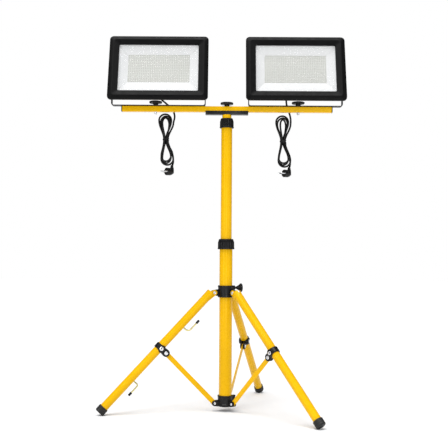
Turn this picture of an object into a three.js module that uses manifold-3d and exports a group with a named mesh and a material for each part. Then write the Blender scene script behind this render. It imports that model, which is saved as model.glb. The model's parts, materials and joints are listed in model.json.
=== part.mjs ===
// Twin-head LED work light on a telescopic steel tripod.
// Millimetres, +Z up, X along the crossbar, lamps facing -Y, feet on z = 0. Every piece is placed
// from the mast's axis, and the whole is then moved so that the origin is under its middle.

import * as THREE from 'three';
import { mergeVertices } from 'three/addons/utils/BufferGeometryUtils.js';
import Module from 'manifold-3d';

const wasm = await Module();
wasm.setup();

// ---------------------------------------------------------------- driving dimensions

const GAP = 0.3; // between touching pieces
const rad = THREE.MathUtils.degToRad;

// Telescopic mast
const outerTube = { radius: 22.5, wall: 1.5, bottom: 19.5, top: 581 };
const bottomPlug = { bottom: 16.2, top: 38 };
const midTube = { radius: 19.2, wall: 1.5, bottom: 447, top: 1005.7 };
const topTube = { radius: 16, wall: 1.5, bottom: 500, top: 1036.3 };
const lowerCollar = { radius: 29.5, neck: 25.5, bottom: 563.5, top: 599.5 };
const upperCollar = { radius: 25, neck: 21.5, bottom: 989.4, top: 1023.4 };
const bushLength = 20;
const bushSpigot = 15;

// Tripod linkage, drawn in a vertical plane through the mast: r from the axis, z up
const legAzimuths = { back: rad(72), right: rad(-46.3), left: rad(193.7) };
const hubPivot = { r: 42, z: 412 };
const basePivot = { r: 38.6, z: 28.3 };
const soleCentre = { r: 437.5, z: 10 };
const legTube = { radius: 14.5, wall: 1.8, start: 6.2, offset: 8.6 };
const forkSlot = { half: 5.4, bottom: 17 };
const elbow = { along: 266, below: 28.5, head: 7, shank: 3.4, hole: 5.2, slot: 5.2 };
const brace = { width: 17, thickness: 3.2 };
const pivotHole = 3.3;
const rivetRadius = 2.5;
const footCap = { radius: 17.5, length: 24, floor: 6 };

const topHub = { outer: 28, bore: 24.1, bottom: 396, top: 437 };
const bottomHub = { outer: 26, rim: 28.5, rimHeight: 9, bottom: 18.6, top: 55 };
const hubKnobAzimuth = rad(15);
const hubKnob = { z: 429, stem: 4, head: 15.5, start: 38, end: 60 };

// Crossbar, its saddle and the clamp knobs
const crossbar = { side: 20, wall: 1.6, length: 736, bottom: 1046 };
const saddle = { length: 150, wall: 2.4, bottom: 1036.6, lip: 3.6 };
const capThickness = 3;
const boltRadius = 4.9;
const boltHole = 5.2;
const knobHead = { radius: 23, thickness: 8.5, height: 6, hub: 8.8 };
const boltX = 251;

// Lamp heads, each in its own frame: x across, y back from the tilt axis, z up the face
const lampX = 241;
const tiltAxisZ = 1192.5;
const tiltBack = rad(18.5);
const lamp = { width: 350, height: 251, front: -27, corner: 14 };
const bezelDepth = 6;
const lampWindow = { width: 280, height: 182, corner: 4 };
const flangeBack = -14;
const body = { width: 306, height: 204, back: 6, cavityFloor: 1 };
const glass = { width: 300, height: 202, thickness: 4 };
const ledPanel = { width: 218, height: 110, thickness: 2, margin: 9, raise: 7 };
const fins = { count: 15, pitch: 19.6, thickness: 2.4, depth: 10, length: 192 };
const driverBox = { width: 124, bottom: -8, top: 72, back: 37 };
const gland = { x: -15, y: 25.5, radius: 8.6, tip: 5.2, nut: 9, length: 24 };
const yoke = { width: 332, strip: 3, depth: 25, bend: 9 };
const pivotBolt = { shank: 4, head: 8.5, headThickness: 4.6, reach: 10 };

// Power cords: a free lead from the gland, a tied hank under the bar and a plug
const cordDiameter = 6.4;
const hank = { lobe: 24, waist: 11.5, depth: 27, height: 187 };
const plugHead = { radius: 13.5, length: 29, below: 21 };
const plugGrip = { x: 24, base: 7.5, tip: 4.2, height: 24 };
const plugPin = { radius: 2.4, length: 18, spacing: 19 };
const plugTurn = rad(35);
const plugX = 22; // the plug's grip, from the middle of the hank

// Wire cord hooks on the left leg
const wireRadius = 2.6;
const hooks = [
  { name: 'upper_cord_hook', along: 161, out: 36.5, length: 55, bend: 14, turn: 1 },
  { name: 'lower_cord_hook', along: 409, out: 34.5, length: 47, bend: 7, turn: -1 },
];

// ---------------------------------------------------------------- finishes

const finish = (color, roughness, metalness = 0) =>
  () => new THREE.MeshStandardMaterial({ color, roughness, metalness });

const yellowPaint = finish(0xf4bf0d, 0.35);
const blackPlastic = finish(0x17181a, 0.55);
const blackPaint = finish(0x121214, 0.4);
const zincSteel = finish(0xc4c7cb, 0.35, 1);
const whiteReflector = finish(0xf1f1ee, 0.5);
const ledPhosphor = finish(0xdcdacb, 0.6);
const clearGlass = finish(0xe6eeec, 0.05);
const cordRubber = finish(0x101113, 0.6);

// ---------------------------------------------------------------- solids

function solid(geometry) {
  const bare = geometry.clone();
  bare.deleteAttribute('normal');
  bare.deleteAttribute('uv');
  const merged = mergeVertices(bare, 1e-4);
  return new wasm.Manifold(new wasm.Mesh({
    numProp: 3,
    vertProperties: new Float32Array(merged.attributes.position.array),
    triVerts: new Uint32Array(merged.index.array),
  }));
}

function geometryOf(manifold) {
  const { vertProperties, triVerts } = manifold.getMesh();
  const geometry = new THREE.BufferGeometry();
  geometry.setAttribute('position', new THREE.BufferAttribute(vertProperties, 3));
  geometry.setIndex(new THREE.BufferAttribute(triVerts, 1));
  geometry.computeVertexNormals();
  return geometry;
}

const union = (...pieces) => pieces.reduce((whole, piece) => whole.add(piece));

function cut(piece, ...tools) {
  return tools.reduce((rest, tool) => rest.subtract(tool), piece);
}

function mesh(name, shape, material) {
  const geometry = shape.isBufferGeometry ? shape : geometryOf(shape);
  const result = new THREE.Mesh(geometry, material());
  result.name = name;
  return result;
}

function box(width, depth, height, x = 0, y = 0, z = 0) {
  return solid(new THREE.BoxGeometry(width, depth, height).translate(x, y, z));
}

function disc(radius, x = 0, y = 0) {
  return new THREE.Shape().absarc(x, y, radius, 0, 2 * Math.PI);
}

function roundedRectangle(width, height, corner) {
  const x = width / 2 - corner;
  const y = height / 2 - corner;
  return new THREE.Shape()
    .absarc(x, y, corner, 0, Math.PI / 2)
    .absarc(-x, y, corner, Math.PI / 2, Math.PI)
    .absarc(-x, -y, corner, Math.PI, 1.5 * Math.PI)
    .absarc(x, -y, corner, 1.5 * Math.PI, 2 * Math.PI);
}

// Two round ends of different size joined by straight sides, as a lever's outline
function lever(a, b, radiusA, radiusB) {
  const line = b.clone().sub(a);
  const heading = line.angle();
  const spread = Math.acos((radiusA - radiusB) / line.length());
  return new THREE.Shape()
    .absarc(a.x, a.y, radiusA, heading + spread, heading - spread + 2 * Math.PI)
    .absarc(b.x, b.y, radiusB, heading - spread, heading + spread);
}

// An arc takes twice as many steps as curveSegments says, so a full circle's count is halved here
function extruded(shape, depth, roundSegments) {
  const curveSegments = roundSegments / 2;
  return new THREE.ExtrudeGeometry(shape, { depth, curveSegments, bevelEnabled: false });
}

// An outline in x and z, given thickness from y0 to y1
function plate(shape, y0, y1, roundSegments = 6) {
  const geometry = extruded(shape, y1 - y0, roundSegments);
  return solid(geometry.rotateX(Math.PI / 2).translate(0, y1, 0));
}

// A round bar or pin along z or y
function rodZ(radius, z0, z1, x = 0, y = 0, segments = 16) {
  return solid(extruded(disc(radius, x, y), z1 - z0, segments).translate(0, 0, z0));
}

function rodY(radius, y0, y1, x = 0, z = 0, segments = 10) {
  return plate(disc(radius, x, z), y0, y1, segments);
}

function pipe(outer, inner, z0, z1, segments = 24) {
  const ring = disc(outer);
  ring.holes.push(disc(inner));
  return solid(extruded(ring, z1 - z0, segments).translate(0, 0, z0));
}

// A solid of revolution about z from [radius, z] corners, anticlockwise, first on the inside
function turned(corners, segments = 20) {
  const points = corners.map(([r, z]) => new THREE.Vector2(r, z));
  return solid(new THREE.LatheGeometry(points, segments).rotateX(Math.PI / 2));
}

function turnedRing(corners, segments) {
  return turned([...corners, corners[0]], segments);
}

// ---------------------------------------------------------------- mast

function guideBush(tube, bore) {
  const { bottom } = tube;
  const spigot = tube.radius - tube.wall - GAP;
  return turnedRing([
    [spigot - 3, bottom - bushLength],
    [bore - GAP, bottom - bushLength],
    [bore - GAP, bottom - GAP],
    [spigot, bottom - GAP],
    [spigot - 3, bottom + bushSpigot],
  ]);
}

// A clamp collar: its bore is stepped, wide round the lower tube and narrow round the upper one
function clampCollar({ radius, neck, bottom, top }, lowerTube, upperTube) {
  const step = lowerTube.top + GAP;
  return turnedRing([
    [lowerTube.radius + GAP, bottom],
    [radius - 2, bottom],
    [radius, bottom + 2],
    [radius, top - 9],
    [neck, top - 2],
    [neck - 1.5, top],
    [upperTube.radius + GAP, top],
    [upperTube.radius + GAP, step],
    [lowerTube.radius + GAP, step],
  ], 24);
}

function mastTubes() {
  const inner = (tube) => tube.radius - tube.wall;
  const tube = (t) => pipe(t.radius, inner(t), t.bottom, t.top);
  const nutPlate = cut(
    rodZ(topTube.radius - 0.5, topTube.top - 9, topTube.top, 0, 0, 32),
    rodZ(boltHole, topTube.top - 12, topTube.top + 3),
  );
  const plugRadius = inner(outerTube) - GAP;
  const stopper = turned([
    [0, bottomPlug.bottom],
    [outerTube.radius - 1, bottomPlug.bottom],
    [outerTube.radius, bottomPlug.bottom + 1],
    [outerTube.radius, outerTube.bottom - GAP],
    [plugRadius, outerTube.bottom - GAP],
    [plugRadius, bottomPlug.top],
    [0, bottomPlug.top],
  ]);
  return [
    mesh('outer_tube', tube(outerTube), yellowPaint),
    mesh('bottom_plug', stopper, blackPlastic),
    mesh('mid_tube', tube(midTube), yellowPaint),
    mesh('mid_tube_bush', guideBush(midTube, inner(outerTube)), blackPlastic),
    mesh('top_tube', union(tube(topTube), nutPlate), yellowPaint),
    mesh('top_tube_bush', guideBush(topTube, inner(midTube)), blackPlastic),
    mesh('lower_collar', clampCollar(lowerCollar, outerTube, midTube), blackPlastic),
    mesh('upper_collar', clampCollar(upperCollar, midTube, topTube), blackPlastic),
  ];
}

// ---------------------------------------------------------------- tripod

const turnTo = (azimuth) => new THREE.Matrix4().makeRotationZ(azimuth);
const azimuths = Object.values(legAzimuths);

function atEachLeg(piece) {
  return azimuths.map((azimuth) => piece.transform(turnTo(azimuth).elements));
}

function topHubRing() {
  const { outer, bore, bottom, top } = topHub;
  const ring = turnedRing([
    [bore, bottom],
    [outer - 1, bottom],
    [outer, bottom + 1],
    [outer, top - 1],
    [outer - 1, top],
    [bore, top],
  ], 24);
  const pivot = new THREE.Vector2(hubPivot.r, hubPivot.z);
  const root = new THREE.Vector2(outer - 1, hubPivot.z);
  const ear = cut(
    plate(lever(root, pivot, 12, 9.5), -5, 5, 8),
    rodZ(bore, bottom - 10, top + 10, 0, 0, 24),
    rodY(pivotHole, -10, 10, hubPivot.r, hubPivot.z),
  );
  const boss = solid(
    new THREE.CylinderGeometry(8, 8, 8, 20)
      .rotateZ(Math.PI / 2)
      .translate(outer + 1, 0, hubKnob.z),
  );
  const knobBoss = cut(
    boss.transform(turnTo(hubKnobAzimuth).elements),
    rodZ(bore, bottom, top, 0, 0, 24),
  );
  return union(ring, ...atEachLeg(ear), knobBoss);
}

function hubKnobSolid() {
  const { stem, head, start, end } = hubKnob;
  const shank = topHub.outer + 5 + GAP;
  return turned([
    [0, shank],
    [stem, shank],
    [stem, start],
    [6, start + 1],
    [head - 3, end - 9],
    [head, end - 6],
    [head, end - 3],
    [head - 2.5, end - 0.8],
    [0, end],
  ], 16);
}

function bottomHubRing() {
  const { outer, rim, rimHeight, bottom, top } = bottomHub;
  const bore = outerTube.radius + GAP;
  const ring = turnedRing([
    [bore, bottom],
    [rim, bottom],
    [rim, bottom + rimHeight - 3],
    [outer, bottom + rimHeight],
    [outer, top - 1],
    [outer - 1, top],
    [bore, top],
  ], 24);
  const pivot = new THREE.Vector2(basePivot.r, basePivot.z);
  const root = new THREE.Vector2(outer - 2, basePivot.z);
  const half = 7.5;
  const ear = cut(
    plate(lever(root, pivot, 10.5, 9.5), -half, half, 8),
    rodZ(bore, bottom - 10, top, 0, 0, 24),
    box(20, brace.thickness + 1, 60, basePivot.r + 0.6, 0, basePivot.z),
  );
  const shank = rodY(rivetRadius, -half, half, basePivot.r, basePivot.z);
  const rivetHead = rodY(4.5, half - 0.5, half + 2.1, basePivot.r, basePivot.z);
  const heads = [rivetHead, rivetHead.mirror([0, 1, 0])];
  const lug = cut(
    box(14, 11, 18, outer + 3, 0, top - 11),
    rodZ(bore, bottom, top + 10, 0, 0, 24),
  ).transform(turnTo(hubKnobAzimuth).elements);
  return union(ring, lug, ...atEachLeg(union(ear, shank, ...heads)));
}

// The leg's own frame: origin on its hub pivot, -z down the leg, +x to its outer side
const reach = Math.hypot(soleCentre.r - hubPivot.r, hubPivot.z - soleCentre.z);
const legAngle = Math.atan2(soleCentre.r - hubPivot.r, hubPivot.z - soleCentre.z)
  - Math.asin(legTube.offset / reach);
const legLength = Math.sqrt(reach ** 2 - legTube.offset ** 2);
const elbowX = legTube.offset - elbow.below;

// The elbow's place in the plane of the leg, and the brace that reaches it
const elbowAt = {
  r: hubPivot.r + elbow.along * Math.sin(legAngle) + elbowX * Math.cos(legAngle),
  z: hubPivot.z - elbow.along * Math.cos(legAngle) + elbowX * Math.sin(legAngle),
};
const braceLength = Math.hypot(elbowAt.r - basePivot.r, elbowAt.z - basePivot.z);
const braceAngle = Math.atan2(elbowAt.r - basePivot.r, elbowAt.z - basePivot.z);

function legSolid(hookList) {
  const { radius, wall, start, offset } = legTube;
  const end = legLength - footCap.floor - GAP;
  const pipeEnd = pipe(radius, radius - wall, -end, -start, 18).translate([offset, 0, 0]);
  const tube = cut(pipeEnd, box(80, 2 * forkSlot.half, 2 * forkSlot.bottom));
  const cheek = (y0, y1) => plate(
    lever(new THREE.Vector2(offset, -31), new THREE.Vector2(0, 0), 12.4, 9.5),
    y0, y1, 8,
  );
  const fork = union(cheek(forkSlot.half, 8.6), cheek(-8.6, -forkSlot.half));
  const solidLeg = cut(union(tube, fork), rodY(pivotHole, -20, 20));
  const sockets = hookList.map(({ along }) => solid(
    new THREE.CylinderGeometry(wireRadius + GAP, wireRadius + GAP, 2 * radius, 12)
      .rotateZ(Math.PI / 2)
      .translate(offset - radius, 0, -along),
  ));
  return cut(solidLeg, ...sockets);
}

function legPin() {
  const head = rodY(5.6, 8.9, 11.3, 0, 0, 12);
  return union(rodY(pivotHole - GAP, -9.5, 9.5), head, head.mirror([0, 1, 0]));
}

function elbowCollar() {
  const { offset, radius } = legTube;
  const bore = radius + GAP;
  const band = turnedRing([
    [bore, -10],
    [bore + 2, -10],
    [bore + 3, -9],
    [bore + 3, 9],
    [bore + 2, 10],
    [bore, 10],
  ], 18).translate([offset, 0, -elbow.along]);
  const onTube = new THREE.Vector2(offset - 6, -elbow.along);
  const atPivot = new THREE.Vector2(elbowX, -elbow.along);
  const ears = cut(
    plate(lever(onTube, atPivot, 10, 11.5), -8, 8, 8),
    rodZ(bore, -elbow.along - 20, -elbow.along + 20, offset, 0, 18),
    box(40, elbow.slot, 60, elbowX + 9.8 - 20, 0, -elbow.along),
  );
  const rivet = (r, x, half) => rodY(r, -half, half, x, -elbow.along, 10);
  const crossRivet = cut(
    rivet(6.5, offset - 4, bore + 4.6),
    rodZ(bore, -elbow.along - 20, -elbow.along + 20, offset, 0, 18),
  );
  const rivetHead = rodY(elbow.head, 7.5, 10, elbowX, -elbow.along, 10);
  const elbowRivet = union(rivet(elbow.shank, elbowX, 9), rivetHead, rivetHead.mirror([0, 1, 0]));
  return union(band, ears, elbowRivet, ...crossRivet.decompose());
}

function footCapSolid() {
  const { radius, length, floor } = footCap;
  const bore = legTube.radius + GAP;
  return turned([
    [0, -legLength],
    [radius - 1.5, -legLength],
    [radius, -legLength + 1.5],
    [radius, -legLength + length - 1],
    [radius - 1, -legLength + length],
    [bore, -legLength + length],
    [bore, -legLength + floor],
    [0, -legLength + floor],
  ], 20).translate([legTube.offset, 0, 0]);
}

// The flat bar, its base pivot at the origin and +z towards the elbow
function braceBar() {
  const half = brace.thickness / 2;
  const outline = lever(
    new THREE.Vector2(0, 0), new THREE.Vector2(0, braceLength), brace.width / 2, brace.width / 2,
  );
  return cut(
    plate(outline, -half, half, 8),
    rodY(rivetRadius + GAP, -5, 5, 0, 0),
    rodY(elbow.hole, -5, 5, 0, braceLength),
  );
}

function cordHook({ name, along, out, length, bend, turn }) {
  const tip = new THREE.Vector3(legTube.offset - out, 0, -along + turn * length);
  const wire = new THREE.CurvePath();
  const root = new THREE.Vector3(legTube.offset - legTube.radius + 0.8, 0, -along);
  const beforeBend = new THREE.Vector3(legTube.offset - out + bend, 0, -along);
  const corner = new THREE.Vector3(legTube.offset - out, 0, -along);
  const afterBend = new THREE.Vector3(legTube.offset - out, 0, -along + turn * bend);
  wire.add(new THREE.LineCurve3(root, beforeBend));
  wire.add(new THREE.QuadraticBezierCurve3(beforeBend, corner, afterBend));
  wire.add(new THREE.LineCurve3(afterBend, tip));
  const bar = solid(new THREE.ExtrudeGeometry(disc(wireRadius), {
    steps: 14, curveSegments: 4, extrudePath: wire, bevelEnabled: false,
  }));
  const sleeve = solid(
    new THREE.CylinderGeometry(4, 4, 20, 14)
      .rotateX(Math.PI / 2)
      .translate(tip.x, 0, tip.z - turn * 9),
  );
  return mesh(name, union(bar, sleeve), zincSteel);
}

function tripodLeg(side) {
  const plane = new THREE.Group();
  plane.rotation.z = legAzimuths[side];

  const swing = new THREE.Group();
  swing.position.set(hubPivot.r, 0, hubPivot.z);
  swing.rotation.y = -legAngle;
  const hooked = side === 'left' ? hooks : [];
  swing.add(
    mesh(`leg_${side}`, legSolid(hooked), yellowPaint),
    mesh(`leg_pin_${side}`, legPin(), zincSteel),
    mesh(`elbow_collar_${side}`, elbowCollar(), blackPlastic),
    ...hooked.map(cordHook),
  );

  // The sole is cut off level with the ground
  swing.updateMatrix();
  const placed = footCapSolid().transform(swing.matrix.elements);
  const sole = cut(placed, box(200, 200, 40, soleCentre.r, 0, -20));
  plane.add(swing, mesh(`foot_cap_${side}`, sole, blackPlastic));

  const link = new THREE.Group();
  link.position.set(basePivot.r, 0, basePivot.z);
  link.rotation.y = braceAngle;
  link.add(mesh(`brace_${side}`, braceBar(), yellowPaint));
  plane.add(link);
  return plane;
}

function tripodHubs() {
  const knob = mesh('hub_knob', hubKnobSolid(), blackPlastic);
  knob.position.z = hubKnob.z;
  knob.rotation.set(0, Math.PI / 2, 0);
  const turn = new THREE.Group();
  turn.rotation.z = hubKnobAzimuth;
  turn.add(knob);
  return [
    mesh('top_hub', topHubRing(), blackPlastic),
    mesh('bottom_hub', bottomHubRing(), blackPlastic),
    turn,
  ];
}

// ---------------------------------------------------------------- crossbar

function clampKnob(seat, boltEnd) {
  const { radius, thickness, height, hub } = knobHead;
  const under = seat + height;
  return turned([
    [0, boltEnd],
    [boltRadius - 1, boltEnd],
    [boltRadius, boltEnd + 1],
    [boltRadius, seat],
    [hub, seat],
    [hub, under - 1],
    [radius - 2, under],
    [radius, under + 2],
    [radius, under + thickness - 3],
    [radius - 2.5, under + thickness - 0.8],
    [0, under + thickness],
  ], 18);
}

function crossbarPieces() {
  const { side, wall, length, bottom } = crossbar;
  const top = bottom + side;
  const centre = bottom + side / 2;
  const inside = side - 2 * wall;
  const holes = [-boltX, 0, boltX].map((x) => rodZ(boltHole, bottom - 5, top + 5, x));
  const bar = cut(
    box(length, side, side, 0, 0, centre),
    box(length + 10, inside, inside, 0, 0, centre),
    ...holes,
  );

  const saddleTop = bottom + saddle.lip;
  const saddleHeight = saddleTop - saddle.bottom;
  const saddleWidth = side + 2 * (GAP + saddle.wall);
  const bed = cut(
    box(saddle.length, saddleWidth, saddleHeight, 0, 0, saddle.bottom + saddleHeight / 2),
    box(saddle.length + 10, side + 2 * GAP, side, 0, 0, bottom - GAP + side / 2),
    rodZ(boltHole, saddle.bottom - 5, bottom + 5),
  );

  const plug = inside - 2 * GAP;
  const endCap = (sign) => {
    const face = sign * (length / 2 + GAP + capThickness / 2);
    return union(
      box(capThickness, side, side, face, 0, centre),
      box(16, plug, plug, sign * (length / 2 - 6), 0, centre),
    );
  };
  return [
    mesh('crossbar', bar, yellowPaint),
    mesh('saddle', bed, blackPaint),
    mesh('end_cap_left', endCap(-1), blackPlastic),
    mesh('end_cap_right', endCap(1), blackPlastic),
    mesh('centre_knob', clampKnob(top + GAP, topTube.top - 14), blackPlastic),
  ];
}

// ---------------------------------------------------------------- lamp heads

const barTop = crossbar.bottom + crossbar.side;

// In the yoke's frame: origin on the tilt axis, halfway between the arms
function yokeSolid(boltOffset) {
  const { width, strip, depth, bend } = yoke;
  const foot = barTop + GAP - tiltAxisZ;
  const outer = width / 2;
  const uShape = (half, low, corner) => new THREE.Shape()
    .moveTo(half, 20)
    .lineTo(-half, 20)
    .lineTo(-half, low + corner)
    .absarc(-half + corner, low + corner, corner, Math.PI, 1.5 * Math.PI)
    .absarc(half - corner, low + corner, corner, 1.5 * Math.PI, 2 * Math.PI);
  const band = cut(
    plate(uShape(outer, foot, bend), -depth / 2, depth / 2),
    plate(uShape(outer - strip, foot + strip, bend - strip), -depth, depth),
  );
  const armEnds = new THREE.Shape()
    .moveTo(-depth / 2, foot - 5)
    .lineTo(depth / 2, foot - 5)
    .absarc(0, 0, depth / 2, 0, Math.PI);
  const roundedArms = solid(
    extruded(armEnds, width + 20, 10)
      .rotateX(Math.PI / 2)
      .rotateZ(Math.PI / 2)
      .translate(-width / 2 - 10, 0, 0),
  );
  const pivotHole = solid(
    new THREE.CylinderGeometry(pivotBolt.shank + GAP, pivotBolt.shank + GAP, width + 20, 10)
      .rotateZ(Math.PI / 2),
  );
  return cut(
    band.intersect(roundedArms),
    pivotHole,
    rodZ(boltHole, foot - 5, foot + 10, boltOffset),
  );
}

function pivotBoltSolid(sign) {
  const inside = yoke.width / 2 - yoke.strip;
  const seat = yoke.width / 2 + GAP;
  const bolt = turned([
    [0, inside - pivotBolt.reach],
    [pivotBolt.shank, inside - pivotBolt.reach],
    [pivotBolt.shank, seat],
    [pivotBolt.head, seat],
    [pivotBolt.head - 2, seat + pivotBolt.headThickness - 1],
    [0, seat + pivotBolt.headThickness],
  ], 12);
  const facing = new THREE.Matrix4().makeRotationY(sign * Math.PI / 2);
  return bolt.transform(facing.elements);
}

function housingSolid() {
  const rim = plate(
    roundedRectangle(lamp.width, lamp.height, lamp.corner),
    lamp.front + bezelDepth + GAP, flangeBack,
  );
  const shell = plate(
    roundedRectangle(body.width, body.height, 8), flangeBack - 1, body.back,
  );
  const firstFin = -(fins.count - 1) * fins.pitch / 2;
  const finPlates = Array.from({ length: fins.count }, (_, i) => box(
    fins.thickness, fins.depth + 1, fins.length,
    firstFin + i * fins.pitch, body.back + fins.depth / 2 - 0.5, 0,
  ));
  const driver = box(
    driverBox.width, driverBox.back - body.back + 1, driverBox.top - driverBox.bottom,
    0, (driverBox.back + body.back - 1) / 2, (driverBox.top + driverBox.bottom) / 2,
  );
  const boss = (sign) => solid(
    new THREE.CylinderGeometry(11, 13, 12, 14)
      .rotateZ(-sign * Math.PI / 2)
      .translate(sign * (yoke.width / 2 - yoke.strip - GAP - 6), 0, 0),
  );
  const boltSocket = solid(
    new THREE.CylinderGeometry(pivotBolt.shank + GAP, pivotBolt.shank + GAP, yoke.width, 10)
      .rotateZ(Math.PI / 2),
  );
  const sockets = cut(
    boltSocket,
    box(2 * (yoke.width / 2 - yoke.strip - pivotBolt.reach - GAP), 40, 40),
  );
  const glassBack = lamp.front + bezelDepth + 2 * GAP + glass.thickness;
  const glassRecess = box(
    glass.width + 2 * GAP, 30, glass.height + 2 * GAP, 0, glassBack + GAP - 15, 0,
  );
  const cavity = box(
    glass.width - 10, 60, glass.height - 10, 0, body.cavityFloor - 30, 0,
  );
  const glandHole = rodZ(5, driverBox.bottom - 5, driverBox.bottom + 14, gland.x, gland.y, 16);
  return cut(
    union(rim, shell, driver, boss(-1), boss(1), ...finPlates),
    glassRecess, cavity, sockets, glandHole,
  );
}

function bezelSolid() {
  const { width, height, front, corner } = lamp;
  const rim = plate(roundedRectangle(width, height, corner), front + 2, front + bezelDepth);
  const face = plate(roundedRectangle(width - 5, height - 5, corner - 2), front, front + 3);
  const opening = plate(
    roundedRectangle(lampWindow.width, lampWindow.height, lampWindow.corner),
    front - 5, front + 12,
  );
  return cut(union(rim, face), opening);
}

// A frame whose inner walls slope from the window down to the LED panel
function reflectorSolid(front, back) {
  const outer = box(
    glass.width - 11, back - front, glass.height - 11, 0, (front + back) / 2, 0,
  );
  const corners = (width, height, y, raise) => [-1, 1].flatMap((sx) => [-1, 1].map(
    (sz) => [sx * width / 2, y, sz * height / 2 + raise],
  ));
  const slope = (back - front + 2) / (back - front);
  const wide = {
    width: ledPanel.width + (lampWindow.width - ledPanel.width) * slope,
    height: ledPanel.height + (lampWindow.height - ledPanel.height) * slope,
  };
  const funnel = wasm.Manifold.hull([
    ...corners(wide.width, wide.height, front - 2, ledPanel.raise * (1 - slope)),
    ...corners(ledPanel.width, ledPanel.height, back + 0.01, ledPanel.raise),
  ]);
  return cut(outer, funnel);
}

function glandSolid() {
  const { x, y, radius, tip, nut, length } = gland;
  const seat = driverBox.bottom - GAP;
  return turned([
    [0, seat - length],
    [tip, seat - length],
    [radius - 1.6, seat - nut - 3],
    [radius, seat - nut],
    [radius, seat],
    [4.7, seat],
    [4.7, seat + 12],
    [0, seat + 12],
  ], 12).translate([x, y, 0]);
}

// ---------------------------------------------------------------- cords

// Points of each lead from the gland to its hank, as x beside the lamp's centre, y and z
const leadRoutes = {
  left: [
    [-15, 13.8, 1153.4], [-15, 10.3, 1143.5], [-14, 9.2, 1133], [-11.5, 11.2, 1122.5],
    [-6.5, 16.4, 1112], [1, 23.4, 1102], [11, 29.6, 1092], [23, 33.6, 1082.5],
    [34.5, 35, 1073], [44.5, 35, 1062], [51.5, 33.5, 1050.5], [55, 31.5, 1039],
    [54.8, 30.5, 1027.5], [51.8, 30, 1015],
  ],
  right: [
    [-15, 13.8, 1153.4], [-15.6, 10.3, 1143.5], [-18, 9.2, 1133], [-22, 11.2, 1122.5],
    [-26, 16.4, 1112], [-29, 23.4, 1101.5], [-30, 29.6, 1091], [-28.5, 34, 1080],
    [-25.5, 35.5, 1068], [-21.5, 35, 1056], [-17.5, 33.5, 1044.5],
    [-15, 31.5, 1033], [-13.8, 30.5, 1021.5], [-14.2, 30, 1010.5],
  ],
};
const hankCentres = {
  left: { x: 25, y: 30, z: 952 },
  right: { x: -41, y: 30, z: 947.5 },
};

function leadSolid(points) {
  const curve = new THREE.CatmullRomCurve3(
    points.map(([x, y, z]) => new THREE.Vector3(x, y, z)), false, 'centripetal',
  );
  return new THREE.ExtrudeGeometry(disc(cordDiameter / 2), {
    steps: 18, curveSegments: 4, extrudePath: curve, bevelEnabled: false,
  });
}

// The outer shape of the tied bundle: two round lobes that narrow to the tie between them
function hankSolid() {
  const { lobe, waist, depth, height } = hank;
  const centre = height / 2 - lobe;
  const side = new THREE.Path();
  const spread = rad(25);
  side.absarc(0, centre, lobe, -spread, Math.PI + spread);
  const bow = centre - lobe * Math.sin(spread);
  const edge = lobe * Math.cos(spread);
  side.bezierCurveTo(-edge + 8, bow - 16, -waist, 16, -waist, 0);
  side.bezierCurveTo(-waist, -16, -edge + 8, 16 - bow, -edge, -bow);
  side.absarc(0, -centre, lobe, Math.PI - spread, 2 * Math.PI + spread);
  side.bezierCurveTo(edge - 8, 16 - bow, waist, -16, waist, 0);
  side.bezierCurveTo(waist, 16, edge - 8, bow - 16, edge, bow);
  return plate(new THREE.Shape(side.getPoints(8)), -depth / 2, depth / 2);
}

// A right-angled plug about its grip: the cord comes in from above, the two pins point to -x
function plugSolid() {
  const { radius, length } = plugHead;
  const head = turned([
    [0, 0],
    [radius - 1.5, 0],
    [radius, 1.5],
    [radius, length / 2],
    [radius - 2, length - 6],
    [radius - 6, length - 1],
    [0, length],
  ], 18).transform(new THREE.Matrix4().makeRotationY(Math.PI / 2).elements);
  const { base, tip, height } = plugGrip;
  const grip = turned([
    [0, -base],
    [base, -base],
    [base - 0.5, radius - 2],
    [tip + 0.8, height - 5],
    [tip, height],
    [0, height],
  ], 12).translate([plugGrip.x, 0, 0]);
  const pin = (y) => solid(
    new THREE.CylinderGeometry(plugPin.radius, plugPin.radius, plugPin.length + 1, 8)
      .rotateZ(Math.PI / 2)
      .translate(0.5 - plugPin.length / 2, y, 0),
  );
  return union(head, grip, pin(-plugPin.spacing / 2), pin(plugPin.spacing / 2))
    .translate([-plugGrip.x, 0, 0]);
}

// ---------------------------------------------------------------- one lamp with all it carries

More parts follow.
